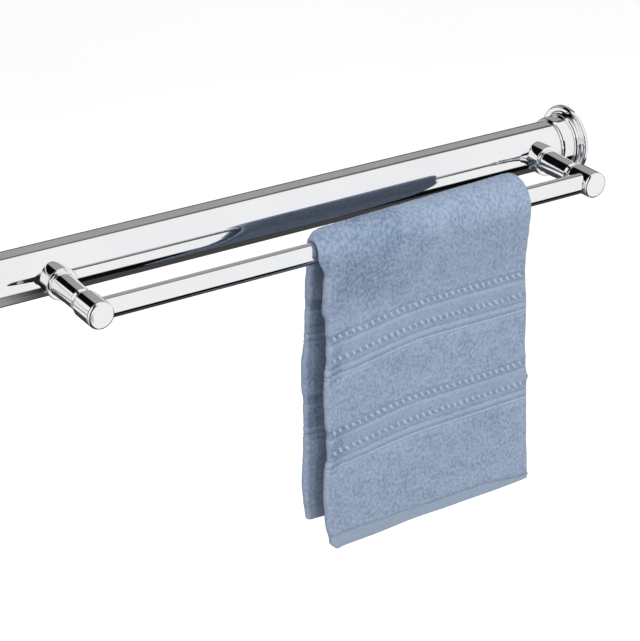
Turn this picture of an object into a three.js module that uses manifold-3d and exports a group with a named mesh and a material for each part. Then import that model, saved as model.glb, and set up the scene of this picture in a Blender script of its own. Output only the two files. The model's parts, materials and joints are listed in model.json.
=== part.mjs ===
// A wall-to-wall towel rack in chromed brass, with a folded hand towel on it.
//
// A wide tube spans from wall to wall. Two turned arms stand out from it and carry
// a thinner rail, and the towel hangs over the rail. Lengths are in millimetres.
// X runs along the tube to the right, -Y comes out towards the user and +Z is up.
// The origin is on the tube's axis, at the face of the right wall.

import * as THREE from 'three';
import { mergeVertices } from 'three/addons/utils/BufferGeometryUtils.js';
import Module from 'manifold-3d';

const wasm = await Module();
wasm.setup();

// Driving dimensions
const armSpacing = 537.5;
const rightArmFromWall = 53;
const leftArmFromWall = 109.5;
const reach = 99.5;
const tubeRadius = 24.15;
const tubeWall = 1.5;
const railRadius = 10;
const railWall = 1.2;
const wallToWall = leftArmFromWall + armSpacing + rightArmFromWall;

// Clearances: between pieces that slide or seat, and how far a cut overruns
const slip = 0.3;
const seat = 0.3;
const overrun = 2;

// Wall plate: a disc on the wall with a spigot inside the tube's end
const plateRadius = 30;
const plateThickness = 4;
const plateChamfer = 0.6;
const spigotRadius = tubeRadius - tubeWall - slip;
const spigotWall = 2.35;
const spigotInner = spigotRadius - spigotWall;
const spigotChamfer = 0.8;
const rightSpigotDepth = 12;
const leftSpigotDepth = 30;
const wallHoleCount = 3;
const wallHolePitchRadius = 12;
const wallHoleRadius = 2.6;
const wallHoleHeadRadius = 4.8;

// The tube is pushed over the deep left spigot, lined up and drawn back over the right one
const installPlay = 1;
const leftTubeGap = rightSpigotDepth + installPlay;
const rightTubeGap = seat;

// Rose: the stepped cover that hides the wall plate and the tube's end
const platePlay = 1.5;
const plateCover = 0.7;
const rosePocketRadius = plateRadius + platePlay;
const rosePocketDepth = plateThickness + plateCover;
const roseRim = 4.7;
const roseRadius = rosePocketRadius + roseRim;
const roseBackChamfer = 1.2;
const roseDiscThickness = 5.6;
const roseEdge = 2.6;
const roseFillet = 4.5;
const roseSleeveWall = 2.65;
const roseBore = tubeRadius + slip;
const roseSleeveRadius = roseBore + roseSleeveWall;
const roseLength = 25;
const roseNoseLength = 5;
const roseNoseLip = 0.35;

// Grub screws, all of one thread
const grubRadius = 2;
const grubHoleRadius = grubRadius + slip;
const grubRecess = 0.5;
const hexRadius = 1.1;
const hexDepth = 1.2;
const roseGrubFromNose = 5.4;
const rightLockInset = 5.7;
const leftLockInset = 5;

// Threaded insert in the tube's wall and the low-headed screw that holds an arm base
const screwRadius = 3;
const screwBoreRadius = screwRadius + slip;
const screwHeadRadius = 5;
const screwHeadHeight = 2.7;
const screwLength = 14;
const screwHexRadius = 2;
const screwHexDepth = 1.6;
const insertRadius = 4.6;
const insertLength = 11.7;
const insertRecess = 0.45;
const insertTop = tubeRadius - insertRecess;
const insertBulgeRadius = 5.9;
const insertBulgeHeight = 3;
const insertBulgeTop = Math.sqrt((tubeRadius - tubeWall) ** 2 - insertBulgeRadius ** 2) - slip;

// Arm base: a short collar, saddle-cut to sit on the tube, with a floor under the screw's head
const baseRadius = 15.3;
const baseHeight = 13.85;
const baseFace = tubeRadius + baseHeight;
const baseEdge = 0.9;
const baseFloorHeight = 3.85;
const baseFloor = tubeRadius + baseFloorHeight;
const basePocketRadius = screwHeadRadius + slip;
const socketFloor = baseFloor + screwHeadHeight + seat + slip;
const armSpigotRadius = 9;
const baseSocketRadius = armSpigotRadius + slip;
const baseGrubFromFace = 3.4;
const baseGrubFromAxis = baseFace - baseGrubFromFace;

// Arm: a turned baluster with a round head that takes the rail
const barrelStartRadius = 12;
const barrelWaistRadius = 11.3;
const barrelEndRadius = 11;
const barrelShoulder = 1.2;
const barrelLip = 1.3;
const neckRadius = 9.7;
const neckLength = 4.2;
const headWall = 2.7;
const headRadius = railRadius + slip + headWall;
const headBackLength = 17.8;
const headFrontLength = 13.5;
const headBackRound = 3.2;
const headFrontRound = 2.4;
const headDome = 0.5;
const headStart = reach - headBackLength;
const headFront = reach + headFrontLength;
const barrelEnd = headStart - neckLength - barrelLip;
const railSocketCover = 0.9;
const railSeatDepth = Math.sqrt((headRadius - railSocketCover) ** 2 - (railRadius + slip) ** 2);

// Plugs in the rail's ends
const plugRadius = railRadius - railWall - slip;
const plugLength = 18;
const plugChamfer = 0.8;

// Towel: terry, folded in half along its length with the fold on the left
const clothLayer = 3;
const towelWidth = 241;
const towelFromRightArm = 77;
const towelClearance = 0.4;
const frontDrop = 309;
const backDrop = 299;
const hemHeight = 26;
const lowerBandStart = 92;
const lowerBandHeight = 44;
const upperBandStart = 202;
const upperBandHeight = 42;
const bandStep = 3;
const selvageNotch = 16;
const selvageRound = 1.2;
const waveHeight = 1.6;
const cornerRound = 8;

// Over the rail the outer layer stands off the inner one, most at the open edge
const crownAtFold = 4.6;
const crownAtEdge = 11;
const crownFade = 70;
const crownPinch = 14;
const crownTopShare = 2 / 3;

// Thickness of the hem and of the flat-woven bands, as shares of the plain terry's
const hemShare = 1.12;
const bandShare = 0.72;

// Where the points between the two long edges lie, as shares of the width
const acrossShares = [0.1, 0.3, 0.5, 0.7, 0.9];

// How far each long edge strays from straight, as shares of the towel's width,
// against the height above the hem as a share of the drop
const frontLeftShares = [[0, 0.05], [0.04, 0.04], [0.1, 0.03], [0.2, 0.023], [0.34, 0.034], [0.44, 0.028],
  [0.53, 0.018], [0.62, 0.02], [0.66, 0.03], [0.8, 0.029], [0.83, 0.012], [0.9, 0.015], [0.95, 0.021],
  [1, 0.016]];
const frontRightShares = [[0, 0.018], [0.08, 0.018], [0.3, 0.008], [0.53, -0.013], [0.74, -0.031],
  [0.86, -0.038], [0.91, -0.045], [0.95, -0.051], [1, -0.051]];
const backLeftShares = [[0, 0.014], [0.2, 0], [0.45, 0.002], [0.6, -0.003], [0.85, 0.008], [1, 0.016]];
const backRightShares = [[0, 0.005], [0.5, 0.01], [0.85, -0.03], [1, -0.051]];

// Facets round a circle, and the angles of arcs in degrees
const wideFacets = 48;
const armFacets = 36;
const smallFacets = 12;
const hexagonFacets = 6;
const quarterTurn = 90;
const roseFilletStart = 270;
const roseFilletEnd = 180;
const foldStart = 150;
const foldEnd = 30;

const chrome = () => new THREE.MeshStandardMaterial({ color: 0xdfe3e8, roughness: 0.07, metalness: 1 });
const brass = () => new THREE.MeshStandardMaterial({ color: 0xc9b47a, roughness: 0.4, metalness: 1 });
const steel = () => new THREE.MeshStandardMaterial({ color: 0x8d9196, roughness: 0.35, metalness: 1 });
const nylon = () => new THREE.MeshStandardMaterial({ color: 0x2b2c2f, roughness: 0.6, metalness: 0 });
const terry = () => new THREE.MeshStandardMaterial({ color: 0x9db2d0, roughness: 1, metalness: 0 });

// Lathes turn about +Y; these lay the turned axis where the piece needs it
const towardsRoom = new THREE.Matrix4().makeRotationZ(Math.PI);
const awayFromWall = new THREE.Matrix4().makeRotationZ(Math.PI / 2);
const alongX = new THREE.Matrix4().makeRotationZ(-Math.PI / 2);
const upwards = new THREE.Matrix4().makeRotationX(Math.PI / 2);

// A profile is a list of [radius, distance along the axis]
function revolved(profile, facets, lay) {
  const points = profile.map(([radius, along]) => new THREE.Vector2(radius, along));
  return new THREE.LatheGeometry(points, facets).applyMatrix4(lay);
}

// Part of a circle in a profile, from one angle to another in degrees
function arc(radius, along, bend, from, to, steps) {
  return Array.from({ length: steps + 1 }, (_, i) => {
    const angle = THREE.MathUtils.degToRad(from + (to - from) * i / steps);
    return [radius + bend * Math.cos(angle), along + bend * Math.sin(angle)];
  });
}

function rod(radius, from, to, facets, lay) {
  return revolved([[0, from], [radius, from], [radius, to], [0, to]], facets, lay);
}

function tube(radius, wall, length, facets) {
  const inner = radius - wall;
  const half = length / 2;
  const section = [[inner, -half], [radius, -half], [radius, half], [inner, half], [inner, -half]];
  return revolved(section, facets, alongX);
}

// Joins the shared vertices and drops the facets that a lathe closes to nothing on its axis
function solidOf(geometry) {
  const bare = geometry.clone();
  bare.deleteAttribute('normal');
  bare.deleteAttribute('uv');
  const merged = mergeVertices(bare);
  const corners = merged.index.array;
  const kept = [];
  for (let i = 0; i < corners.length; i += 3) {
    const [a, b, c] = [corners[i], corners[i + 1], corners[i + 2]];
    if (a !== b && b !== c && c !== a) kept.push(a, b, c);
  }
  return new wasm.Manifold(new wasm.Mesh({
    numProp: 3,
    vertProperties: Float32Array.from(merged.attributes.position.array),
    triVerts: Uint32Array.from(kept),
  }));
}

function geometryOf(solid) {
  const mesh = solid.getMesh();
  const geometry = new THREE.BufferGeometry();
  geometry.setAttribute('position', new THREE.BufferAttribute(mesh.vertProperties, 3));
  geometry.setIndex(new THREE.BufferAttribute(mesh.triVerts, 1));
  geometry.computeVertexNormals();
  return geometry;
}

function cut(body, ...tools) {
  return geometryOf(tools.reduce((left, tool) => left.subtract(solidOf(tool)), solidOf(body)));
}

function piece(name, geometry, material) {
  const mesh = new THREE.Mesh(geometry, material);
  mesh.name = name;
  return mesh;
}

// A headless screw driven from below, with its hexagon socket in the lower end
function grubScrew(bottom, top) {
  const body = rod(grubRadius, bottom, top, smallFacets, upwards);
  return cut(body, rod(hexRadius, bottom - overrun, bottom + hexDepth, hexagonFacets, upwards));
}

// Turned pieces at each wall, drawn with the wall at zero and the room along -X

function wallPlate(spigotDepth, lockFromWall) {
  const tip = plateThickness + spigotDepth;
  const body = revolved([
    [0, 0],
    [plateRadius, 0],
    [plateRadius, plateThickness - plateChamfer],
    [plateRadius - plateChamfer, plateThickness],
    [spigotRadius, plateThickness],
    [spigotRadius, tip - spigotChamfer],
    [spigotRadius - spigotChamfer, tip],
    [spigotInner, tip],
    [spigotInner, plateThickness],
    [0, plateThickness],
  ], wideFacets, awayFromWall);
  const sink = wallHoleHeadRadius - wallHoleRadius;
  const holes = Array.from({ length: wallHoleCount }, (_, i) => {
    const angle = Math.PI / 2 + 2 * Math.PI * i / wallHoleCount;
    const hole = revolved([
      [0, -overrun],
      [wallHoleRadius, -overrun],
      [wallHoleRadius, plateThickness - sink],
      [wallHoleHeadRadius, plateThickness],
      [wallHoleHeadRadius, plateThickness + overrun],
      [0, plateThickness + overrun],
    ], 2 * smallFacets, awayFromWall);
    return hole.translate(0, wallHolePitchRadius * Math.cos(angle), wallHolePitchRadius * Math.sin(angle));
  });
  const lock = rod(grubHoleRadius, spigotInner - overrun, spigotRadius + overrun, smallFacets, upwards);
  return cut(body, ...holes, lock.translate(-lockFromWall, 0, 0));
}

function rose() {
  const filletFoot = roseDiscThickness + roseFillet;
  const noseFoot = roseLength - roseNoseLength;
  const lipRadius = roseBore + roseNoseLip;
  const nose = arc(0, 0, 1, 0, quarterTurn, 5).map(([out, up]) => [
    lipRadius + (roseSleeveRadius - lipRadius) * out,
    noseFoot + roseNoseLength * up,
  ]);
  const body = revolved([
    [roseBore, rosePocketDepth],
    [rosePocketRadius, rosePocketDepth],
    [rosePocketRadius, 0],
    [roseRadius - roseBackChamfer, 0],
    [roseRadius, roseBackChamfer],
    ...arc(roseRadius - roseEdge, roseDiscThickness - roseEdge, roseEdge, 0, quarterTurn, 5),
    ...arc(roseSleeveRadius + roseFillet, filletFoot, roseFillet, roseFilletStart, roseFilletEnd, 5),
    ...nose,
    [roseBore, roseLength],
    [roseBore, rosePocketDepth],
  ], wideFacets, awayFromWall);
  const hole = rod(grubHoleRadius, -roseSleeveRadius - overrun, -tubeRadius + overrun, smallFacets, upwards);
  return cut(body, hole.translate(roseGrubFromNose - roseLength, 0, 0));
}

function wallEnd(side, spigotDepth, lockFromWall) {
  const end = new THREE.Group();
  const lock = grubScrew(-tubeRadius + grubRecess, -spigotInner).rotateX(Math.PI);
  const roseGrub = grubScrew(-roseSleeveRadius + grubRecess, -tubeRadius - seat);
  end.add(piece(`${side}_wall_plate`, wallPlate(spigotDepth, lockFromWall), steel()));
  end.add(piece(`${side}_rose`, rose(), chrome()));
  end.add(piece(`${side}_tube_lock_screw`, lock.translate(-lockFromWall, 0, 0), steel()));
  end.add(piece(`${side}_rose_screw`, roseGrub.translate(roseGrubFromNose - roseLength, 0, 0), steel()));
  return end;
}

// Pieces of an arm, drawn with the tube's axis at zero and the room along -Y

function insert() {
  const bottom = insertTop - insertLength;
  const bulgeFoot = insertBulgeTop - insertBulgeHeight;
  return revolved([
    [screwBoreRadius, bottom],
    [insertRadius - slip, bottom],
    [insertRadius - slip, bulgeFoot],
    [insertBulgeRadius, bulgeFoot + slip],
    [insertBulgeRadius, insertBulgeTop - slip],
    [insertRadius - slip, insertBulgeTop],
    [insertRadius - slip, insertTop],
    [screwBoreRadius, insertTop],
    [screwBoreRadius, bottom],
  ], 2 * smallFacets, towardsRoom);
}

function baseScrew() {
  const headSeat = baseFloor + seat;
  const top = headSeat + screwHeadHeight;
  const body = revolved([
    [0, headSeat - screwLength],
    [screwRadius, headSeat - screwLength],
    [screwRadius, headSeat],
    [screwHeadRadius, headSeat],
    [screwHeadRadius, top],
    [0, top],
  ], 2 * smallFacets, towardsRoom);
  return cut(body, rod(screwHexRadius, top - screwHexDepth, top + overrun, hexagonFacets, towardsRoom));
}

function armBase() {
  const body = revolved([
    [screwBoreRadius, 0],
    [baseRadius, 0],
    ...arc(baseRadius - baseEdge, baseFace - baseEdge, baseEdge, 0, quarterTurn, 3),
    [baseSocketRadius, baseFace],
    [baseSocketRadius, socketFloor],
    [basePocketRadius, socketFloor],
    [basePocketRadius, baseFloor],
    [screwBoreRadius, baseFloor],
    [screwBoreRadius, 0],
  ], armFacets, towardsRoom);
  const saddle = rod(tubeRadius + seat, -2 * baseRadius, 2 * baseRadius, 2 * wideFacets, alongX);
  const hole = rod(grubHoleRadius, -baseRadius - overrun, -baseSocketRadius + overrun, smallFacets, upwards);
  return cut(body, saddle, hole.translate(0, -baseGrubFromAxis, 0));
}

function arm(inward) {
  const spigotEnd = socketFloor + seat;
  const shoulder = baseFace + seat;
  const headBack = arc(0, 0, 1, 0, quarterTurn, 4).map(([out, up]) => [
    headRadius - headBackRound * (1 - up),
    headStart + headBackRound * (1 - out),
  ]);
  const body = revolved([
    [0, spigotEnd],
    [armSpigotRadius - slip, spigotEnd],
    [armSpigotRadius, spigotEnd + slip],
    [armSpigotRadius, shoulder],
    [barrelStartRadius - barrelShoulder / 2, shoulder],
    [barrelStartRadius, shoulder + barrelShoulder / 2],
    [barrelStartRadius, shoulder + 2 * barrelShoulder],
    [barrelWaistRadius, (baseFace + barrelEnd) / 2],
    [barrelEndRadius, barrelEnd - barrelLip],
    [barrelEndRadius, barrelEnd],
    [neckRadius, barrelEnd + barrelLip],
    [neckRadius, headStart],
    ...headBack,
    ...arc(headRadius - headFrontRound, headFront - headFrontRound, headFrontRound, 0, quarterTurn, 5),
    [headRadius / 2, headFront + headDome * 3 / 4],
    [0, headFront + headDome],
  ], armFacets, towardsRoom);
  const [mouth, bottom] = [inward * (headRadius + overrun), -inward * railSeatDepth];
  const [from, to] = [Math.min(mouth, bottom), Math.max(mouth, bottom)];
  const bore = rod(railRadius + slip, from, to, 2 * smallFacets, alongX);
  const hole = rod(grubHoleRadius, -headRadius - overrun, -railRadius + overrun, smallFacets, upwards);
  return cut(body, bore.translate(0, -reach, 0), hole.translate(0, -reach, 0));
}

function armAssembly(side, inward) {
  const whole = new THREE.Group();
  const baseGrub = grubScrew(-baseRadius + grubRecess, -armSpigotRadius - seat);
  const railGrub = grubScrew(-headRadius + grubRecess, -railRadius - seat);
  whole.add(piece(`${side}_insert`, insert(), brass()));
  whole.add(piece(`${side}_base_screw`, baseScrew(), steel()));
  whole.add(piece(`${side}_arm_base`, armBase(), chrome()));
  whole.add(piece(`${side}_arm`, arm(inward), chrome()));
  whole.add(piece(`${side}_base_grub_screw`, baseGrub.translate(0, -baseGrubFromAxis, 0), steel()));
  whole.add(piece(`${side}_rail_grub_screw`, railGrub.translate(0, -reach, 0), steel()));
  return whole;
}

function endPlug() {
  const half = plugLength / 2;
  return revolved([
    [0, -half],
    [plugRadius - plugChamfer, -half],
    [plugRadius, plugChamfer - half],
    [plugRadius, half - plugChamfer],
    [plugRadius - plugChamfer, half],
    [0, half],
  ], 2 * smallFacets, alongX);
}

function mainTube(length, armPlaces, lockPlaces) {
  const body = tube(tubeRadius, tubeWall, length, 2 * wideFacets);
  const from = tubeRadius - tubeWall - overrun;
  const to = tubeRadius + overrun;
  const insertHoles = armPlaces.map((x) => rod(insertRadius, from, to, 2 * smallFacets, towardsRoom)
    .translate(x, 0, 0));
  const lockHoles = lockPlaces.map((x) => rod(grubHoleRadius, from, to, smallFacets, upwards)
    .translate(x, 0, 0));
  return cut(body, ...insertHoles, ...lockHoles);
}

// The value of a table of [place, value] at a place between its rows
function between(table, place) {
  const next = Math.max(1, table.findIndex(([at]) => at >= place));
  const [[a, from], [b, to]] = [table[next - 1], table[next]];
  return from + (to - from) * (place - a) / (b - a);
}

// The towel is one closed sheet, two layers thick. It is drawn as cross-sections along the
// way up the front, over the rail and down the back, with the rail's axis at zero.
function towel() {
  const bend = railRadius + towelClearance + clothLayer;
  const overRail = Math.PI * bend;
  const whole = frontDrop + overRail + backDrop;
  const bands = [[lowerBandStart, lowerBandHeight], [upperBandStart, upperBandHeight]];
  const endOf = ([start, height]) => start + height;
  const [lower, upper] = bands;
  const stops = [
    0,
    cornerRound / 2,
    hemHeight - bandStep,
    hemHeight,
    (hemHeight + lowerBandStart) / 2,
    (endOf(lower) + upperBandStart) / 2,
    ...bands.flatMap((band) => [band[0] - bandStep, band[0], endOf(band), endOf(band) + bandStep]),
  ];
  const arcSteps = 8;
  const stations = [
    ...stops,
    (endOf(upper) + frontDrop) / 2,
    frontDrop - (frontDrop - endOf(upper)) / 4,
    whole - (endOf(upper) + backDrop) / 2,
    ...Array.from({ length: arcSteps + 1 }, (_, i) => frontDrop + overRail * i / arcSteps),
    ...stops.map((stop) => whole - stop),
  ].sort((a, b) => a - b);

  const layerShare = (fromEnd) => {
    if (fromEnd < hemHeight) return hemShare;
    return bands.some((band) => fromEnd >= band[0] && fromEnd <= endOf(band)) ? bandShare : 1;
  };

  const loops = stations.map((s) => {
    const onFront = s <= frontDrop;
    const fromEnd = Math.min(s, whole - s);
    const share = onFront ? s / frontDrop : Math.min(1, (whole - s) / backDrop);
    const onArc = THREE.MathUtils.clamp((s - frontDrop) / overRail, 0, 1);
    const edge = (front, back) => towelWidth * (onFront ? between(front, share)
      : THREE.MathUtils.lerp(between(front, 1), between(back, share), onArc));
    const rounding = cornerRound * Math.max(0, 1 - fromEnd / cornerRound) ** 2;
    const left = edge(frontLeftShares, backLeftShares) + rounding / 2;
    const right = towelWidth + edge(frontRightShares, backRightShares);
    const half = clothLayer * layerShare(fromEnd);
    const angle = Math.PI * onArc;
    const below = onFront ? frontDrop - s : Math.max(0, s - frontDrop - overRail);
    const wave = waveHeight * below / frontDrop;
    const crown = THREE.MathUtils.smoothstep(s, frontDrop - crownFade, frontDrop)
      * (1 - THREE.MathUtils.smoothstep(onArc, crownTopShare, 1));
    const notch = THREE.MathUtils.lerp(selvageNotch, right - left - crownPinch, Math.sqrt(crown));

    // A point of the cross-section: off the middle of the sheet, and lifted with the outer layer
    const at = (x, off, lifted) => {
      const ripple = wave * Math.sin(3 * Math.PI * (x - left) / towelWidth);
      const rise = THREE.MathUtils.mapLinear(x, left, right, crownAtFold, crownAtEdge);
      const out = bend + off + ripple + lifted * crown * rise;
      return new THREE.Vector3(x, -out * Math.cos(angle), out * Math.sin(angle) - below);
    };
    const outer = acrossShares.map((part) => at(left + (right - left) * part, half, 1));
    const inner = acrossShares.toReversed().map((part) => at(left + (right - left) * part, -half, 0));
    const fold = arc(0, 0, half, foldStart, foldEnd, 4)
      .map(([off, x]) => at(left + half - x, off, Math.max(0, off / half)));
    return [
      ...outer,
      at(right - selvageRound, half, 1),
      at(right, half - selvageRound, 1),
      at(right - selvageRound / 2, selvageRound / 2, 1),
      at(right - notch, 0, 0),
      at(right - selvageRound / 2, -selvageRound / 2, 0),
      at(right, selvageRound - half, 0),
      at(right - selvageRound, -half, 0),
      ...inner,
      ...fold,
    ];
  });
  return loft(loops);
}

// Skins a row of closed loops of equal length, each turning anticlockwise when looked at
// from the last loop's side, and closes both ends
function loft(loops) {
  const size = loops[0].length;
  const corners = [];
  for (let row = 0; row + 1 < loops.length; row += 1) {
    for (let i = 0; i < size; i += 1) {
      const [a, b] = [row * size + i, row * size + (i + 1) % size];
      corners.push(a, b, b + size, a, b + size, a + size);
    }
  }
  const last = (loops.length - 1) * size;
  const outline = loops[0].map((point) => new THREE.Vector2(point.x, point.y));
  for (const [a, b, c] of THREE.ShapeUtils.triangulateShape(outline, [])) {
    corners.push(a, c, b, last + a, last + b, last + c);
  }
  const places = loops.flat().flatMap((point) => point.toArray());
  const geometry = new THREE.BufferGeometry();
  geometry.setAttribute('position', new THREE.Float32BufferAttribute(places, 3));
  geometry.setIndex(corners);
  geometry.computeVertexNormals();
  return geometry;
}

// The rack, put together

const rack = new THREE.Group();

const rightArmX = -rightArmFromWall;
const leftArmX = rightArmX - armSpacing;
const tubeLength = wallToWall - 2 * plateThickness - leftTubeGap - rightTubeGap;
const tubeCentre = -plateThickness - rightTubeGap - tubeLength / 2;
const rightLockFromWall = plateThickness + rightTubeGap + rightLockInset;
const leftLockFromWall = plateThickness + leftTubeGap + leftLockInset;

const tubeMesh = piece('main_tube', mainTube(
  tubeLength,
  [leftArmX - tubeCentre, rightArmX - tubeCentre],
  [leftLockFromWall - wallToWall - tubeCentre, -rightLockFromWall - tubeCentre],
), chrome());
tubeMesh.position.x = tubeCentre;
rack.add(tubeMesh);

rack.add(wallEnd('right', rightSpigotDepth, rightLockFromWall));
const leftEnd = wallEnd('left', leftSpigotDepth, leftLockFromWall);
leftEnd.position.x = -wallToWall;
leftEnd.rotation.z = Math.PI;
rack.add(leftEnd);

const rightArm = armAssembly('right', -1);
rightArm.position.x = rightArmX;
const leftArm = armAssembly('left', 1);
leftArm.position.x = leftArmX;
rack.add(rightArm, leftArm);

const railGroup = new THREE.Group();
railGroup.position.set((leftArmX + rightArmX) / 2, -reach, 0);
const railLength = armSpacing + 2 * (railSeatDepth - seat);
railGroup.add(piece('towel_rail', tube(railRadius, railWall, railLength, armFacets), chrome()));
for (const [side, sign] of [['left', -1], ['right', 1]]) {
  const plug = piece(`${side}_rail_plug`, endPlug(), nylon());
  plug.position.x = sign * (railLength - plugLength) / 2;
  railGroup.add(plug);
}
rack.add(railGroup);

const towelMesh = piece('towel', towel(), terry());
towelMesh.position.set(rightArmX - towelFromRightArm - towelWidth, -reach, 0);
rack.add(towelMesh);

export default rack;
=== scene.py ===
# %% [markdown]
# A wall-to-wall towel rack: a wide chrome tube between two walls, two turned arms
# that stand out from it, a thinner rail between the arms and a folded blue towel over
# the rail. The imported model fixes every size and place; this lesson gives the pieces
# their finished meshes and their materials, one piece at a time.

# %% Load the fixed frame
import json
import math

import bpy
import numpy as np
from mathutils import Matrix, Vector


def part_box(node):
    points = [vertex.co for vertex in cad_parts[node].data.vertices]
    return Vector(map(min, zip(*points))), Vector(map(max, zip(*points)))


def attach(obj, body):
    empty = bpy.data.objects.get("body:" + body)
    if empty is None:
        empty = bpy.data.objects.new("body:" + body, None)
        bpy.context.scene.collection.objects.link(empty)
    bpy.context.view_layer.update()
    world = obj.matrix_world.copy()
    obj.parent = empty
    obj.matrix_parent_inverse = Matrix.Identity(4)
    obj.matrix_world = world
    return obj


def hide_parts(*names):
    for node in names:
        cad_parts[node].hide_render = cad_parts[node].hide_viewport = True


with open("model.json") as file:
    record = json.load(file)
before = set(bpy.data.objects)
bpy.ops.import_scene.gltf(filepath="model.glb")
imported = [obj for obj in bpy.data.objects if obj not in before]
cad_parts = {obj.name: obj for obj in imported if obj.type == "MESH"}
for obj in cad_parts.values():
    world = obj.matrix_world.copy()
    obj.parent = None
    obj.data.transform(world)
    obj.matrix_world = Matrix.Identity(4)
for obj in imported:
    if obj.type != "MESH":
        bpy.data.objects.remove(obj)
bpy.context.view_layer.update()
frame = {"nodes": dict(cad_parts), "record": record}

# %% [markdown]
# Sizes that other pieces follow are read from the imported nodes, so nothing here can
# drift from them. The smaller sizes of the turned shapes are named where each piece
# is made. Everything is in metres.

# %% Read the main sizes from the nodes
MM = 0.001

tube_low, tube_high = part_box("main_tube")
rail_low, rail_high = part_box("towel_rail")
tube_radius = tube_high.z
rail_radius = rail_high.z
rail_axis_y = (rail_low.y + rail_high.y) / 2
arm_x = {}
for side in ("left", "right"):
    arm_low, arm_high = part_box(f"{side}_arm")
    arm_x[side] = (arm_low.x + arm_high.x) / 2
wall_x = {"left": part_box("left_wall_plate")[0].x, "right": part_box("right_wall_plate")[1].x}
print("tube radius", tube_radius, "rail radius", rail_radius, "arms at", arm_x)

# %% [markdown]
# The camera stands to the left of the rack and above it, and looks along its length
# with a long lens. The lens is worked out for the picture's longer side, the height.

# %% Set up the camera
picture_width, picture_height = 640, 641
focal_pixels = 2098.04
sensor_width = 36.0
camera_place = (-1.29038, -1.56389, 0.78764)
view_azimuth, view_elevation = math.radians(-32.368), math.radians(26.318)


def linked(name, data):
    """A new object in the scene."""
    made = bpy.data.objects.new(name, data)
    bpy.context.scene.collection.objects.link(made)
    return made


camera_data = bpy.data.cameras.new("camera")
camera_data.sensor_fit = "AUTO"
camera_data.sensor_width = sensor_width
camera_data.lens = focal_pixels * sensor_width / max(picture_width, picture_height)
camera = linked("camera", camera_data)
camera.location = camera_place
camera.rotation_euler = (math.pi / 2 - view_elevation, 0, view_azimuth)
bpy.context.scene.camera = camera
bpy.context.scene.view_settings.view_transform = "Standard"
print("the lens is", round(camera_data.lens, 1), "mm long")

# %% [markdown]
# A material is a small sum: noise, masks and colours are added and multiplied. This
# class wraps one output of a node, so the sums can be written as Python expressions,
# and each operator adds the Math node that does it.


# %% Write shader sums as expressions
class Wire:
    """One output of a node, which arithmetic turns into Math nodes."""

    def __init__(self, tree, socket):
        self.tree = tree
        self.socket = socket

    def math(self, operation, *values):
        inputs = dict(enumerate((self, *values)))
        return self.tree.node("ShaderNodeMath", {"operation": operation}, inputs)

    def __add__(self, other):
        return self.math("ADD", other)

    def __sub__(self, other):
        return self.math("SUBTRACT", other)

    def __mul__(self, other):
        return self.math("MULTIPLY", other)

    def __rsub__(self, other):
        return self.tree.node("ShaderNodeMath", {"operation": "SUBTRACT"}, {0: other, 1: self})

    __radd__ = __add__
    __rmul__ = __mul__


class Tree:
    """The nodes of a material or a world."""

    def __init__(self, owner):
        owner.use_nodes = True
        self.nodes = owner.node_tree.nodes
        self.links = owner.node_tree.links
        self.nodes.clear()

    def node(self, kind, settings=None, inputs=None, output=0):
        made = self.nodes.new(kind)
        for name, value in (settings or {}).items():
            setattr(made, name, value)
        for name, value in (inputs or {}).items():
            if isinstance(value, Wire):
                self.links.new(value.socket, made.inputs[name])
            else:
                made.inputs[name].default_value = value
        return Wire(self, made.outputs[output]) if made.outputs else made

    def rise(self, value, low, high):
        """0 below low, 1 above high and a smooth step between."""
        settings = {"interpolation_type": "SMOOTHSTEP"}
        return self.node("ShaderNodeMapRange", settings, {"Value": value, "From Min": low, "From Max": high})

    def blend(self, share, first, second):
        """A colour between two colours."""
        inputs = {"Factor": share, "A": first, "B": second}
        return self.node("ShaderNodeMix", {"data_type": "RGBA"}, inputs, output="Result")

    def noise(self, place, scale, detail=2.0, roughness=0.5):
        inputs = {"Vector": place, "Scale": scale, "Detail": detail, "Roughness": roughness}
        return self.node("ShaderNodeTexNoise", {}, inputs, output="Fac")

    def stretched(self, place, along):
        """The same place with its axes scaled, so a pattern gets longer one way."""
        return self.node("ShaderNodeMapping", {}, {"Vector": place, "Scale": along}, output="Vector")

    def bump(self, height, strength, distance):
        inputs = {"Height": height, "Strength": strength, "Distance": distance}
        return self.node("ShaderNodeBump", {}, inputs, output="Normal")

    def skin(self, inputs):
        """Ends a material in a surface with these inputs."""
        surface = self.node("ShaderNodeBsdfPrincipled", {}, inputs)
        self.node("ShaderNodeOutputMaterial", {}, {"Surface": surface})


# %% [markdown]
# Polished metal shows its surroundings and little else, so a studio photographer
# builds it with cards: white ones that the metal mirrors as pale bands, and black
# ones between them that draw its edges. Here the world holds those cards. Mirror
# rays see the same white that the camera sees, apart from the dark cards. Each card
# ends at an angle round the tube or round the arms. Matt surfaces get an even, soft
# light instead, which comes from the front and from above more than from behind.


# %% Choose the cards of the studio
WHITE, PALE_GREY, LINE_GREY, DEEP_GREY, NEAR_BLACK = 0.92, 0.40, 0.11, 0.055, 0.003
CARD_BLACK, REAR_GREY = 0.015, 0.35
FILL_FRONT, FILL_BACK = 0.78, 0.03

# Soft edges between the cards, along an axis or in degrees round the tube
ARM_SPLIT, BEHIND, NOT_BELOW = (0.74, 0.78), (0.42, 0.5), (-0.97, -0.9)
LEFT_END, LEFT_BACK, LEFT_START = (0.16, 0.24), (0.1, 0.24), (-0.52, -0.42)
HIGH, HIGH_END = (20, 28), (-0.14, -0.04)
LOWER_END, LOWER_TOP = (0.34, 0.37), (-64, -44)

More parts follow.
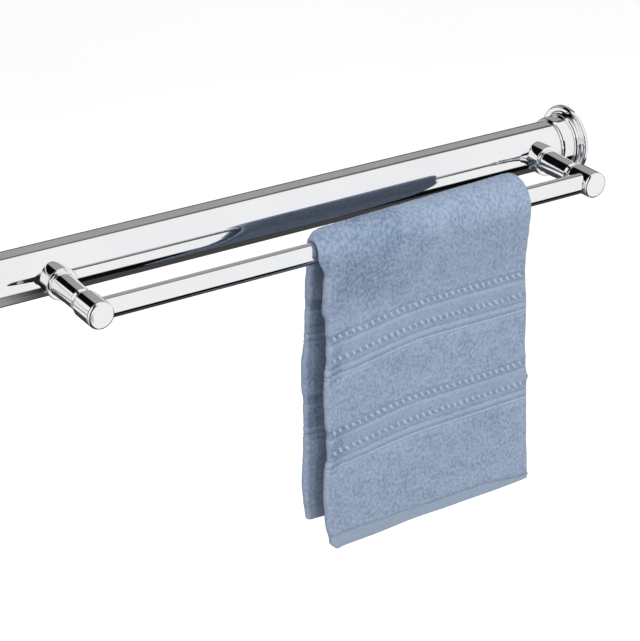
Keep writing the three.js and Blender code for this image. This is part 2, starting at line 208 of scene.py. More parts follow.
# Each card starts at an angle in degrees and ends where the next one starts. The first
# list goes round the tube, from the front upwards, and the others go round the arms,
# from the left upwards. Below the first angle all three are deep grey.
front_cards = [(-80, NEAR_BLACK), (-52, WHITE), (112, LINE_GREY), (126, PALE_GREY)]
left_arm_cards = [(-46, WHITE), (-14, NEAR_BLACK), (10, WHITE), (44, NEAR_BLACK),
                  (94, REAR_GREY), (172, LINE_GREY)]
right_arm_cards = [(-44, WHITE), (-20, NEAR_BLACK), (94, REAR_GREY), (172, LINE_GREY)]
print("the studio has", len(front_cards + left_arm_cards + right_arm_cards), "cards")


# %% [markdown]
# The world is a sum over directions. Angles round the tube and round the arms pick a
# card, and soft steps join the front, the rear and one dark card at the left.

# %% Build the studio round the object
def bands(tree, angle, cards, softness=2.5):
    """The tone of the card that stands at an angle."""
    tone, before = DEEP_GREY, DEEP_GREY
    for edge, following in cards:
        tone = tree.rise(angle, edge - softness, edge + softness) * (following - before) + tone
        before = following
    return tone


def mirrored_cards(tree, right, back, up):
    """What polished metal mirrors in each direction."""
    degrees = math.degrees(1)
    round_tube = up.math("ARCTAN2", back * -1) * degrees
    round_arm = up.math("ARCTAN2", right * -1) * degrees
    front = bands(tree, round_tube, front_cards)
    rear_left = bands(tree, round_arm, left_arm_cards, softness=4)
    rear_right = bands(tree, round_arm, right_arm_cards, softness=4)
    rear = rear_right + (rear_left - rear_right) * tree.rise(back, *ARM_SPLIT)
    behind = tree.rise(back, *BEHIND) * tree.rise(up, *NOT_BELOW)
    at_left = (1 - tree.rise(right, *LEFT_END)) * (1 - tree.rise(back, *LEFT_BACK))
    above = tree.rise(round_tube, *HIGH)
    left_card = at_left * tree.rise(right, *LEFT_START) * (1 - above * tree.rise(right, *HIGH_END))
    lower_left = (1 - tree.rise(right, *LOWER_END)) * (1 - tree.rise(round_tube, *LOWER_TOP))
    lit_front = front + (PALE_GREY - front) * lower_left
    studio = lit_front + (rear - lit_front) * behind
    return studio + (CARD_BLACK - studio) * left_card


def soft_fill(tree, right, back, up):
    """The even light that falls on matt surfaces."""
    toward_front = up * 0.5 - back * 0.75 - right * 0.12
    return FILL_BACK + (FILL_FRONT - FILL_BACK) * tree.rise(toward_front, -0.7, 0.5)


def build_world():
    world = bpy.data.worlds.new("studio")
    bpy.context.scene.world = world
    tree = Tree(world)
    facing = tree.node("ShaderNodeTexCoord", output="Generated")
    right, back, up = (tree.node("ShaderNodeSeparateXYZ", {}, {0: facing}, output=i) for i in range(3))
    seen = tree.node("ShaderNodeLightPath", output="Is Camera Ray")
    glossy = tree.node("ShaderNodeLightPath", output="Is Glossy Ray")
    after_matt = tree.node("ShaderNodeLightPath", output="Diffuse Depth")
    mirror_share = glossy * (1 - tree.rise(after_matt, 0, 1))
    mirrored, fill = mirrored_cards(tree, right, back, up), soft_fill(tree, right, back, up)
    level = seen + (1 - seen) * (mirror_share * mirrored + (1 - mirror_share) * fill)
    shade = tree.node("ShaderNodeBackground", {}, {"Color": (1, 1, 1, 1), "Strength": level})
    tree.node("ShaderNodeOutputWorld", {}, {"Surface": shade})
    print("the studio has", len(tree.nodes), "nodes")


build_world()

# %% [markdown]
# Round soft lamps shape the cloth, which the even light alone would leave flat. The
# key lamp stands at the right, a small one in front lights the outer part of the back
# fall past the front one, and a cool one at the side draws the fold. A weak one
# behind keeps the towel's back from going black. Mirror rays don't see any of them.

# %% Place the soft lamps
PLAIN_LIGHT, COOL_LIGHT = (1, 1, 1), (0.86, 0.94, 1.0)

# Each lamp's place, the point it is aimed at, its width, its power and its colour
LAMPS = {
    "key": ((0.5, -1.8, 1.1), (-0.25, -0.1, -0.15), 0.7, 9.4, PLAIN_LIGHT),
    "top": ((-0.5, -0.5, 1.6), (-0.3, -0.1, 0), 1.2, 7.0, PLAIN_LIGHT),
    "front": ((-0.75, -1.9, 0.35), (-0.4, -0.1, -0.2), 0.3, 5.5, PLAIN_LIGHT),
    "side": ((-1.6, 0.1, 0.15), (-0.4, 0, -0.15), 0.5, 3.2, COOL_LIGHT),
    "rear": ((-0.15, 1.9, 0.45), (-0.35, 0, -0.15), 0.8, 3.5, PLAIN_LIGHT),
}


def place_lamp(name, place, aim, width, power, colour):
    data = bpy.data.lights.new(name, "AREA")
    data.shape = "DISK"
    data.size = width
    data.energy = power
    data.color = colour
    lamp = linked(name, data)
    lamp.location = place
    lamp.rotation_euler = (Vector(aim) - Vector(place)).to_track_quat("-Z", "Y").to_euler()
    lamp.visible_glossy = False
    print("the", name, "lamp stands at", place)


for lamp_name, lamp_values in LAMPS.items():
    place_lamp(lamp_name, *lamp_values)

# %% [markdown]
# The helpers below do with Blender's own operators what a person would do by hand.
# Everything is deselected first, because an operator acts on all that is selected.


# %% Helpers for working in edit mode
holding_gap, long_run, smooth_angle = 0.2 * MM, 1.2 * MM, math.radians(28)


def only(piece):
    bpy.ops.object.select_all(action="DESELECT")
    piece.select_set(True)
    bpy.context.view_layer.objects.active = piece


def settle(piece):
    """Moves the object's place into its mesh, so the object sits at the origin."""
    only(piece)
    bpy.ops.object.transform_apply(location=True, rotation=True, scale=True)


def arc(radius, along, bend, start, end, steps):
    """Part of a circle in a profile, between two angles in degrees."""
    angles = [math.radians(start + (end - start) * i / steps) for i in range(steps + 1)]
    return [(radius + bend * math.cos(angle), along + bend * math.sin(angle)) for angle in angles]


def with_holding_points(profile):
    """Adds a point close to each end of every long straight run, so that rounded edges
    don't bend the reflections in the straight surface next to them."""
    held = [profile[0]]
    for start, end in zip(profile, profile[1:]):
        length = math.dist(start, end)
        if length > long_run:
            for share in (holding_gap / length, 1 - holding_gap / length):
                held.append(tuple(a + (b - a) * share for a, b in zip(start, end)))
        held.append(end)
    return held


def turned(name, profile, place, axis, facets=128, closed=True):
    """Draws a profile by extruding one point, and spins it round an axis through the place.

    A profile holds (radius, distance along the axis) pairs. The axis is "-X", "+X" or "-Y".
    """
    ways = {"-X": ((-1, 0, 0), (0, 0, 1)), "+X": ((1, 0, 0), (0, 0, 1)), "-Y": ((0, -1, 0), (0, 0, 1))}
    along_way, radius_way = (Vector(way) for way in ways[axis])
    if closed:
        profile = [*profile, profile[0]]
    profile = with_holding_points(profile)
    points = [Vector(place) + radius_way * radius + along_way * along for radius, along in profile]
    bpy.ops.object.select_all(action="DESELECT")
    bpy.ops.mesh.primitive_plane_add(size=MM)
    piece = bpy.context.object
    piece.name = name
    piece.data.name = name
    bpy.ops.object.mode_set(mode="EDIT")
    bpy.ops.mesh.select_mode(type="VERT")
    bpy.ops.mesh.merge(type="CENTER")
    bpy.ops.transform.translate(value=points[0])
    for before, after in zip(points, points[1:]):
        bpy.ops.mesh.extrude_region_move(TRANSFORM_OT_translate={"value": after - before})
    bpy.ops.mesh.select_all(action="SELECT")
    bpy.ops.mesh.spin(steps=facets, angle=2 * math.pi, center=place, axis=along_way)
    bpy.ops.mesh.select_all(action="SELECT")
    bpy.ops.mesh.remove_doubles(threshold=MM / 1000)
    bpy.ops.mesh.normals_make_consistent(inside=False)
    bpy.ops.object.mode_set(mode="OBJECT")
    settle(piece)
    only(piece)
    bpy.ops.object.shade_smooth_by_angle(angle=smooth_angle)
    print(name, "has", len(piece.data.polygons), "faces")
    return piece


def drill(piece, radius, start, end, facets=48):
    """Cuts a round hole from one point to another."""
    start, end = Vector(start), Vector(end)
    bpy.ops.object.select_all(action="DESELECT")
    bpy.ops.mesh.primitive_cylinder_add(vertices=facets, radius=radius, depth=(end - start).length,
                                        location=(start + end) / 2)
    tool = bpy.context.object
    tool.rotation_euler = (end - start).to_track_quat("Z", "Y").to_euler()
    only(piece)
    cut = piece.modifiers.new("hole", "BOOLEAN")
    cut.operation = "DIFFERENCE"
    cut.solver = "EXACT"
    cut.object = tool
    bpy.ops.object.modifier_apply(modifier=cut.name)
    bpy.data.objects.remove(tool)


def dress(piece, material):
    piece.data.materials.clear()
    piece.data.materials.append(material)


# %% [markdown]
# Chrome plate is a mirror with a trace of blue in it. A real one is never perfect:
# polishing leaves faint streaks along the tube, and handling leaves patches that
# blur the reflection a little. Both are far too faint to see as marks, but they
# keep the bands of light from looking drawn with a ruler.


# %% Mix the polished chrome
def chrome_material(name, streaks_along):
    material = bpy.data.materials.new(name)
    tree = Tree(material)
    place = tree.node("ShaderNodeTexCoord", output="Object")
    handled = tree.noise(place, 14.0, detail=3)
    streaks = tree.noise(tree.stretched(place, streaks_along), 900.0, detail=2)
    roughness = 0.035 + handled * 0.03 + streaks * 0.015
    tone = tree.blend(tree.rise(handled, 0.35, 0.7), (0.93, 0.935, 0.945, 1), (0.90, 0.905, 0.92, 1))
    peel = tree.noise(place, 70.0, detail=1)
    tree.skin({
        "Base Color": tone, "Metallic": 1.0, "Roughness": roughness,
        "Normal": tree.bump(peel, 0.03, 0.0004)})
    return material


chrome_tube = chrome_material("chrome along the tubes", (0.02, 1, 1))
chrome_turned = chrome_material("chrome on turned pieces", (1, 0.2, 1))
print("mixed", chrome_tube.name, "and", chrome_turned.name)

# %% [markdown]
# The screws, plates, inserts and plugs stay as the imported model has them. Their
# finishes are plain and practical: zinc plate that has gone patchy, turned brass
# and moulded nylon.


# %% Mix the finishes of the hidden hardware
def hardware_material(name, light, dark, metallic, rough, grain):
    material = bpy.data.materials.new(name)
    tree = Tree(material)
    place = tree.node("ShaderNodeTexCoord", output="Object")
    patches = tree.noise(place, 160.0, detail=4)
    fine = tree.noise(place, grain, detail=2)
    tree.skin({
        "Base Color": tree.blend(tree.rise(patches, 0.3, 0.7), (*dark, 1), (*light, 1)),
        "Metallic": metallic,
        "Roughness": rough + fine * 0.2,
        "Normal": tree.bump(fine, 0.2, 0.0001)})
    return material


hardware = {
    "steel": hardware_material("zinc plate", (0.60, 0.61, 0.63), (0.46, 0.47, 0.49),
                               metallic=1.0, rough=0.28, grain=1800.0),
    "brass": hardware_material("turned brass", (0.80, 0.68, 0.40), (0.66, 0.54, 0.30),
                               metallic=1.0, rough=0.25, grain=1500.0),
    "nylon": hardware_material("moulded nylon", (0.045, 0.045, 0.05), (0.03, 0.03, 0.033),
                               metallic=0.0, rough=0.45, grain=2500.0),
}
for entry in frame["record"]["subparts"]:
    if entry["material_slot"] in hardware:
        dress(frame["nodes"][entry["node"]], hardware[entry["material_slot"]])
        print(entry["node"], "keeps its packed shape")

# %% [markdown]
# The two tubes are turned as rings with a wall, so their open ends are real. Their
# edges are eased by a small round, as a tube cutter and a file leave them.


# %% Turn the wide tube and the rail
tube_wall = 1.5 * MM
rail_wall = 1.2 * MM
eased = 0.25 * MM
tube_facets, rail_facets = 192, 128


def pipe(name, low, high, radius, wall, axis_y, facets):
    inner, outer, length = radius - wall + eased, radius - eased, high.x - low.x
    profile = [
        *arc(inner, eased, eased, 180, 270, 2), *arc(outer, eased, eased, 270, 360, 2),
        *arc(outer, length - eased, eased, 0, 90, 2), *arc(inner, length - eased, eased, 90, 180, 2)]
    piece = turned(name, profile, (low.x, axis_y, 0), "+X", facets)
    dress(piece, chrome_tube)
    return piece


wide_tube = pipe("wide_tube", tube_low, tube_high, tube_radius, tube_wall, 0, tube_facets)
front_rail = pipe("front_rail", rail_low, rail_high, rail_radius, rail_wall, rail_axis_y, rail_facets)
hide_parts("main_tube")
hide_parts("towel_rail")

# %% [markdown]
# These holes are drilled before the tube is polished: one at each arm for the threaded
# insert, and one near each end for the grub screw that locks the tube.

# %% Drill the wide tube for its inserts and its lock screws
insert_hole, screw_hole, screw_facets, reach_past = 4.6 * MM, 2.3 * MM, 24, 2 * MM
for side in ("left", "right"):
    hole_from = (arm_x[side], tube_wall - tube_radius + reach_past, 0)
    drill(wide_tube, insert_hole, hole_from, (arm_x[side], -tube_radius - reach_past, 0))
    lock_low, lock_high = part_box(f"{side}_tube_lock_screw")
    lock_x = (lock_low.x + lock_high.x) / 2
    drill(wide_tube, screw_hole, (lock_x, 0, tube_radius - tube_wall - reach_past),
          (lock_x, 0, tube_radius + reach_past), screw_facets)
for piece in (wide_tube, front_rail):
    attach(piece, "rack")
print("the drilled tube has", len(wide_tube.data.polygons), "faces")

# %% [markdown]
# The rose is one turned cover: a disc with a soft rim, a hollow fillet, a sleeve that
# holds the tube and a rounded nose. On polished metal every change of slope shows as
# a dark or a light line, so its profile is drawn with true arcs.


# %% Turn the two roses
slip = 0.3 * MM
rose_radius, rose_back_chamfer = 36.2 * MM, 1.2 * MM
rose_disc, rose_edge = 5.6 * MM, 2.6 * MM
rose_fillet, rose_sleeve = 4.5 * MM, 27.1 * MM
rose_length, rose_nose, rose_lip = 25 * MM, 5 * MM, 0.35 * MM
rose_pocket_radius, rose_pocket_depth = 31.5 * MM, 4.7 * MM
rose_facets = 160


def rose_profile():
    bore = tube_radius + slip
    lip = bore + rose_lip
    nose = [(lip + (rose_sleeve - lip) * out, rose_length - rose_nose + rose_nose * up)
            for out, up in arc(0, 0, 1, 0, 90, 10)]
    return [
        (bore, rose_pocket_depth), (rose_pocket_radius, rose_pocket_depth), (rose_pocket_radius, 0),
        (rose_radius - rose_back_chamfer, 0), (rose_radius, rose_back_chamfer),
        *arc(rose_radius - rose_edge, rose_disc - rose_edge, rose_edge, 0, 90, 10),
        *arc(rose_sleeve + rose_fillet, rose_disc + rose_fillet, rose_fillet, 270, 180, 10),
        *nose, (bore, rose_length)]


for side, axis in (("left", "+X"), ("right", "-X")):
    rose = turned(f"{side}_rose_cover", rose_profile(), (wall_x[side], 0, 0), axis, rose_facets)
    screw_low, screw_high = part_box(f"{side}_rose_screw")
    screw_x = (screw_low.x + screw_high.x) / 2
    drill(rose, screw_hole, (screw_x, 0, -rose_sleeve - reach_past),
          (screw_x, 0, reach_past - tube_radius), screw_facets)
    dress(rose, chrome_turned)
    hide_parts(f"{side}_rose")
    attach(rose, "rack")

# %% [markdown]
# Each arm stands on a short collar whose back is cut to the tube's curve. A round
# tool the size of the tube cuts that saddle. The arm itself is a baluster: a barrel
# that narrows a little, a groove, and a round head with a side hole for the rail.


# %% Turn the collars
base_radius, base_face, base_edge = 15.3 * MM, 38 * MM, 0.9 * MM
base_socket, socket_floor = 9.3 * MM, 31.3 * MM
base_pocket, base_floor, screw_bore = 5.3 * MM, 28 * MM, 3.3 * MM


def collar(side):
    profile = [
        (screw_bore, 0), (base_radius, 0),
        *arc(base_radius - base_edge, base_face - base_edge, base_edge, 0, 90, 6),
        (base_socket, base_face), (base_socket, socket_floor), (base_pocket, socket_floor),
        (base_pocket, base_floor), (screw_bore, base_floor)]
    x = arm_x[side]
    piece = turned(f"{side}_collar", profile, (x, 0, 0), "-Y")
    drill(piece, tube_radius + slip, (x - 2 * base_radius, 0, 0), (x + 2 * base_radius, 0, 0), tube_facets)
    grub_y = sum(corner.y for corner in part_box(f"{side}_base_grub_screw")) / 2
    drill(piece, screw_hole, (x, grub_y, -base_radius - reach_past),
          (x, grub_y, reach_past - base_socket), screw_facets)
    return piece


# %% [markdown]
# An arm is turned from one bar, so it is one profile from its spigot to its domed
# front. Its head is then drilled across for the rail, and from below for a screw.

# %% Turn the arms
spigot_radius, shoulder = 9 * MM, 38.3 * MM
barrel_start, barrel_waist, barrel_end_radius = 12 * MM, 11.3 * MM, 11 * MM
barrel_round, barrel_end, barrel_lip = 1.2 * MM, 76.2 * MM, 1.3 * MM
barrel_ease, lip_round = 0.1 * MM, 0.5 * MM
neck_radius, neck_step, neck_ease = 9.7 * MM, 0.3 * MM, 0.6 * MM
head_radius, head_start, head_front = 13 * MM, 81.7 * MM, 113 * MM
head_back_round, head_front_round, head_dome = 3.2 * MM, 2.4 * MM, 0.5 * MM
dome_shares = ((0.6, 0.64), (0.3, 0.9))
rail_seat, seat_facets = rail_high.x - arm_x["right"] + slip, 96


def arm_profile():
    waist_y = (base_face + barrel_end) / 2
    head_back = [(head_radius - head_back_round * (1 - up), head_start + head_back_round * (1 - out))
                 for out, up in arc(0, 0, 1, 0, 90, 10)]
    dome = [(head_radius * out, head_front + head_dome * up) for out, up in dome_shares]
    return [
        (0, socket_floor + slip), (spigot_radius - slip, socket_floor + slip),
        (spigot_radius, socket_floor + 2 * slip), (spigot_radius, shoulder),
        *arc(barrel_start - barrel_round, shoulder + barrel_round, barrel_round, 270, 360, 6),
        (barrel_start - barrel_ease, shoulder + 3 * barrel_round),
        (barrel_waist, waist_y), (barrel_end_radius, barrel_end - barrel_lip),
        *arc(barrel_end_radius - lip_round, barrel_end - lip_round, lip_round, 0, 60, 4),
        (neck_radius + neck_step, barrel_end + barrel_lip), (neck_radius, barrel_end + 1.4 * barrel_lip),
        (neck_radius, head_start - neck_ease),
        *head_back,
        *arc(head_radius - head_front_round, head_front - head_front_round, head_front_round, 0, 84, 12),
        *dome, (0, head_front + head_dome)]


def baluster(side, inward):
    x = arm_x[side]
    piece = turned(f"{side}_baluster", arm_profile(), (x, 0, 0), "-Y", closed=False)
    drill(piece, rail_radius + slip, (x - inward * rail_seat, rail_axis_y, 0),
          (x + inward * (head_radius + reach_past), rail_axis_y, 0), seat_facets)
    drill(piece, screw_hole, (x, rail_axis_y, -head_radius - reach_past),
          (x, rail_axis_y, reach_past - rail_radius), screw_facets)
    return piece


for side, inward in (("left", 1), ("right", -1)):
    for piece, node in ((collar(side), f"{side}_arm_base"), (baluster(side, inward), f"{side}_arm")):
        only(piece)
        bpy.ops.object.shade_smooth_by_angle(angle=smooth_angle)
        dress(piece, chrome_turned)
        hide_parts(node)
        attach(piece, "rack")

# %% [markdown]
# The towel is one sheet of terry, folded in half along its length and hung over the
# rail with the fold on the left. Its shape is worked out, not simulated, because it
# has to keep the edges that the photographed towel has: each point is found from how
# far it lies from the fold and how far along the cloth from the front hem. The outer
# layer stands off the inner one in a crown over the rail, and the fold flares there.

# %% Set the towel's sizes
cloth = 3.0 * MM
cloth_length, half_width = 0.645, 0.2375
layer_offset = 1.6 * MM
front_drop = 302.5 * MM
clearance = 0.4 * MM
bend = rail_radius + clearance + layer_offset + cloth / 2
over_rail = math.pi * bend
towel_x = arm_x["left"]
print("the cloth bends round the rail at", round(bend / MM, 1), "mm")

# Edges against the height below the rail's axis, both in millimetres from the left arm
front_left_mm = [(0, 218.2), (5, 220.2), (11, 223.2), (16, 225.4), (27, 224.2), (42, 223.6), (54, 222.9),
                 (63, 226.6), (78, 226.5), (104, 226.5), (117, 224.6), (144, 224.1), (166, 225.2),
                 (184, 226.8), (211, 227.8), (222, 225.6), (251, 225.3), (277, 227), (304, 231.2), (312, 237)]
front_right_mm = [(0, 448.2), (14, 448.2), (29, 449.5), (44, 451.2), (66, 452.8), (79, 453.8), (105, 456.4),
                  (145, 457.4), (172, 460.1), (186, 462.1), (214, 462.3), (255, 463), (284, 464.9),
                  (306, 466.5), (312, 466)]
back_left_mm = [(0, 224.6), (22, 224.8), (37, 223.3), (99, 221.7), (119, 219.4), (140, 219.4), (162, 221),
                (206, 221), (249, 218.7), (272, 220.4), (285, 221.8), (300, 228)]
back_right_mm = [(0, 448.2), (40, 455), (150, 463.4), (300, 462)]

# %% [markdown]
# These sizes were fitted to the photo. The fold is narrow at the rail and rounder
# below it, and the outer layer rises further off the inner one towards its free edge.

# %% Set the sizes of the fold and the crown
fold_bulge, fold_bulge_reach = 2.2 * MM, 8 * MM
fold_pinch, fold_pinch_start, fold_pinch_end = -0.8 * MM, 4 * MM, 26 * MM
fold_flare, flare_reach = 2.6 * MM, 15 * MM
flare_start, flare_end, flare_back_shares = 2 * MM, 28 * MM, (0.2, 0.55)
crown_near_fold, crown_at_edge, crown_start = 4.4 * MM, 11 * MM, 3.5 * MM
crown_fade, crown_top_share = 70 * MM, 2 / 3
dip_at_fold, dip_shares, dip_fade = 12 * MM, (-0.12, 0.5), 90 * MM
dip_at_hem, hem_lift, hem_swell, swell_shares = 9.2 * MM, 1.7 * MM, 3 * MM, (0.35, 0.6)
inner_setback, tip_length = 2.5 * MM, 7 * MM
tips = ((190 * MM, 7 * MM), (303 * MM, 8 * MM))
wave_seed, wave_lengths, wave_depth = 4, (0.31, 0.19, 0.13), 2.6 * MM
hang_start, hang_end = 10 * MM, 120 * MM
outer_sag, inner_sag, sag_start, sag_end = 1.2 * MM, 0.2 * MM, 150 * MM, 300 * MM
valley_run, valley_reach, valley_depth = 15 * MM, 7 * MM, 1.5 * MM
print("the crown rises", crown_at_edge / MM, "mm at the free edge")

# %% [markdown]
# Two woven borders cross the towel near each end, and a flat hem closes it. From the
# top, a border has a row of raised beads, a plain strip, a second row of beads, a
# narrow strip and a fine cord, with a groove between each. Away from the borders the
# terry stands thicker than the flat weave.

# %% Lay out the borders and the hem
border_tops = (235.5 * MM, 136.5 * MM)
border_height, border_edge = 48 * MM, 1.2 * MM
bead_rows = (4.5 * MM, 27 * MM)
grooves, groove_width = (9.8 * MM, 34.6 * MM, 42.2 * MM), 1.8 * MM
raised_strips = ((11 * MM, 21.5 * MM), (35.6 * MM, 41.4 * MM))
cord_depth, cord_reach = 44.6 * MM, 1.1 * MM
hem_height, hem_line_reach = 15 * MM, 0.9 * MM
hem_above, hem_below = 0.6 * MM, 1 * MM
hem_taper, taper_shares = 3 * MM, (0.1, 0.6)
hem_corner, corner_shares = 7 * MM, (0.75, 1)
flat_share, raised_share, cord_share, groove_share = 0.42, 0.2, 0.4, 0.34
hem_share, hem_line_share = 0.26, 0.18
print("each border is", border_height / MM, "mm high")


def ease(value, low, high):
    """0 below low, 1 above high and a smooth step between."""
    share = np.clip((value - low) / (high - low), 0, 1)
    return share * share * (3 - 2 * share)


def ridge(value, centre, reach):
    """1 at the centre, fading to 0 on both sides."""
    return np.exp(-((value - centre) / reach) ** 2)


def from_end(along):
    return np.minimum(along, cloth_length - along)


def border_depth(along):
    """How far a point lies below the top of the border it is in, or -1 outside."""
    end = from_end(along)
    depth = np.full_like(end, -1.0)
    for top in border_tops:
        inside = (end <= top) & (end >= top - border_height)
        depth = np.where(inside, top - end, depth)
    return depth


def hem_edge(across):
    """The hem is even, except that it tapers towards its selvage."""
    return hem_height - hem_taper * ease(across, *taper_shares) - hem_corner * ease(across, *corner_shares)


def thickness_share(along, across):
    """The cloth's thickness here as a share of the thickest terry."""
    end, depth, hem = from_end(along), border_depth(along), hem_edge(across)
    flat = ease(depth, 0, border_edge) * (1 - ease(depth, border_height - border_edge, border_height))
    raised = sum((depth > top) & (depth < bottom) for top, bottom in raised_strips)
    share = 1 - flat_share * flat + raised_share * raised
    share += cord_share * ridge(depth, cord_depth, cord_reach)
    for groove in grooves:
        share -= groove_share * ridge(depth, groove, groove_width / 2)
    share -= hem_share * (1 - ease(end, hem - hem_below, hem + hem_above))
    share -= hem_line_share * ridge(end, hem, hem_line_reach)
    return share


# %% [markdown]
# Grooves, the foot of each bead and the hem's edge hold shade, and edges that stand up
# catch light; the colour gets these as painted shade and painted highlight. The cloth
# is also darker in a patch near the fold's top and in slow waves, and painted shade
# darkens the hollow beside the fold at the borders. Both are worked out as numbers that
# the towel's colour reads later.

# %% Mark the painted shade and highlight of the lines, and the darker places
bead_shade_reach, cord_light_reach, fold_light_reach = 2.6 * MM, 1.2 * MM, 4 * MM
dark_top_run, dark_top_run_reach = 48 * MM, 60 * MM
dark_top_along, dark_top_along_reach = 306 * MM, 50 * MM
hollow_shade_run, hollow_shade_reach = 10 * MM, 8 * MM
dark_wave_seed, dark_wave_lengths = 21, (0.11, 0.07, 0.05, 0.035)


def painted_shade_and_highlight(along, across):
    """Painted shade and painted highlight: below 0 in the grooves, under the beads and at
    the hem's edge, which lie in shade, and above 0 on the cord, the fold and the upper
    edges, which catch light."""
    depth = border_depth(along)
    shade = np.zeros_like(depth)
    # Painted shade in each groove, and painted highlight on the edge that stands up below it
    for groove in grooves:
        shade -= ridge(depth, groove, groove_width / 2)
        shade += 0.6 * ridge(depth, groove + 1.5 * groove_width, groove_width)
    # Painted highlight on the cord
    shade += 0.5 * ridge(depth, cord_depth, cord_light_reach)
    # Painted shade under each row of beads
    for row in bead_rows:
        shade -= 0.9 * ridge(depth, row, bead_shade_reach)
    # Painted shade along the hem's edge
    shade -= ridge(from_end(along), hem_edge(across), hem_below)
    # Painted highlight along the fold
    return shade + 0.45 * ridge(across * half_width, 0, fold_light_reach)


def soft_noise(u, v, seed, lengths, amplitude):
    """A sum of a few slow waves in fixed directions."""
    total = np.zeros_like(u)
    rng = np.random.default_rng(seed)
    for length in lengths:
        turn, phase = rng.uniform(0, 2 * math.pi, 2)
        total += np.sin((u * math.cos(turn) + v * math.sin(turn)) * 2 * math.pi / length + phase)
    return amplitude * total / len(lengths)


def darker_places_and_hollow_shade(run, along):
    """Where the cloth is darker: in a patch near the fold's top and in slow waves, with
    painted shade in the hollow beside the fold at the borders.
    """
    near_top = ridge(run, dark_top_run, dark_top_run_reach) * ridge(along, dark_top_along, dark_top_along_reach)
    # Painted shade in the hollow beside the fold, at the borders
    hollow = ridge(run, hollow_shade_run, hollow_shade_reach) * (border_depth(along) > 0)
    return near_top + 1.2 * hollow + soft_noise(run, along, dark_wave_seed, dark_wave_lengths, 0.5)


# %% [markdown]
# The fold of a draped towel is never flat. The cloth slips forward over the rail, most
# of all near the fold, hangs in slow waves and opens a little at its fold. So each of
# these is one small term that is added to the place of a point.


# %% Find where each point of the cloth lies
def along_table(table, below):
    """The value of a table at each height, eased between its rows."""
    places = np.array([row[0] for row in table]) * MM
    values = np.array([row[1] for row in table]) * MM
    index = np.clip(np.searchsorted(places, below) - 1, 0, len(places) - 2)
    share = ease(below, places[index], places[index + 1])
    return values[index] + (values[index + 1] - values[index]) * share


def dip(across, along):
    """How far the cloth has slipped forward over the rail, most of all near the fold."""
    at_fold = dip_at_fold * (1 - ease(across, *dip_shares)) / (1 - ease(0.0, *dip_shares))
    at_hem = dip_at_hem * (1 - across) - hem_lift + hem_swell * ease(across, *swell_shares)
    return at_hem + (at_fold - at_hem) * ease(along, 0, dip_fade)


def edges(side, below, onto_back):
    """The fold's x and the selvage's x at each height, from the left arm."""
    left = (1 - onto_back) * along_table(front_left_mm, below)
    left += onto_back * along_table(back_left_mm, below)
    right = (1 - onto_back) * along_table(front_right_mm, below)
    right += onto_back * along_table(back_right_mm, below)
    tip = sum(ridge(below, height, reach) for height, reach in tips) * (1 - onto_back)
    return left, right + np.where(side < 0, tip_length * tip - inner_setback, 0)


def cloth_points(side, run, along, lift):
    """Where the cloth lies. Side is +1 for the outer layer and -1 for the inner one,
    run is the distance from the fold, along the distance from the front hem, and lift
    a distance out from the layer's middle."""
    across = np.clip(run / half_width, 0, 1)
    outer = np.where(side > 0, 1.0, 0.0)
    slipped = along - dip(across, along)
    onto_back = np.clip((slipped - front_drop) / over_rail, 0, 1)
    below = np.where(slipped < front_drop, front_drop - slipped,
                     np.maximum(0, slipped - front_drop - over_rail))
    left, right = edges(side, below, onto_back)

    # Round the fold, and flat beyond it
    bulge = fold_pinch + (fold_bulge - fold_pinch) * ease(below, fold_pinch_start, fold_pinch_end)
    fold_radius = layer_offset + bulge / 2
    quarter = fold_radius * math.pi / 2
    theta = np.minimum(run, quarter) / fold_radius
    past = np.maximum(0, run - quarter)
    stretch = (right - left - fold_radius) / (half_width - quarter)
    x = left + fold_radius * (1 - np.cos(theta)) + past * stretch
    off_arc = bulge / 2 + side * fold_radius * np.sin(theta)
    off_flat = np.where(side > 0, layer_offset + bulge * np.exp(-past / fold_bulge_reach), -layer_offset)
    off = np.where(run < quarter, off_arc, off_flat)

    # The crown over the rail, and the flare of the fold next to it
    crown = (1 - ease(below, 0, crown_fade)) * (1 - ease(onto_back, crown_top_share, 1))
    towards_edge = (crown_at_edge - crown_near_fold) * across
    crown_height = crown_near_fold * (1 - np.exp(-past / crown_start)) + towards_edge
    flare = (1 - ease(below, flare_start, flare_end)) * (1 - ease(onto_back, *flare_back_shares))
    off = off + outer * crown * crown_height
    off = off + fold_flare * flare * np.exp(-run / flare_reach)

    # The slow waves of the hanging cloth, and the hollow beside the fold at the borders
    hang = ease(below, hang_start, hang_end)
    sag = np.where(side > 0, outer_sag, inner_sag) * ease(below, sag_start, sag_end)
    valley = ridge(run, valley_run, valley_reach) * (border_depth(along) > 0)
    off = off + hang * (soft_noise(x, below, wave_seed, wave_lengths, wave_depth) + sag)
    off = off - outer * valley_depth * valley * hang + side * lift

    radius = bend + off
    angle = math.pi * onto_back
    y = rail_axis_y - radius * np.cos(angle)
    z = radius * np.sin(angle) - below
    return np.stack([towel_x + x, y, z], axis=-1)


start = np.zeros(1)
print("the fold meets the front hem at", cloth_points(start + 1, start, start, start)[0].round(3))


# %% [markdown]
# The sheet is a grid of those points. Its rows lie closer together in the borders,
# where the weave changes every millimetre, and its columns lie closer at the fold
# and on the outer layer, which shows.


# %% Weave the grid of the towel
hem_step, terry_step, border_step = 1.6 * MM, 2.6 * MM, 0.85 * MM
first_row, hem_margin, fully_terry = 1 * MM, 2 * MM, (0.9, 1.0)
fold_step, fold_columns, last_column = 0.9 * MM, 6, 1.2 * MM
outer_step, inner_step = 2.3 * MM, 7.5 * MM
clump_lift, clump_share = 0.10 * MM, 0.03


def stops(start, end, step):
    count = max(1, round((end - start) / step))
    return list(np.linspace(start, end, count, endpoint=False))


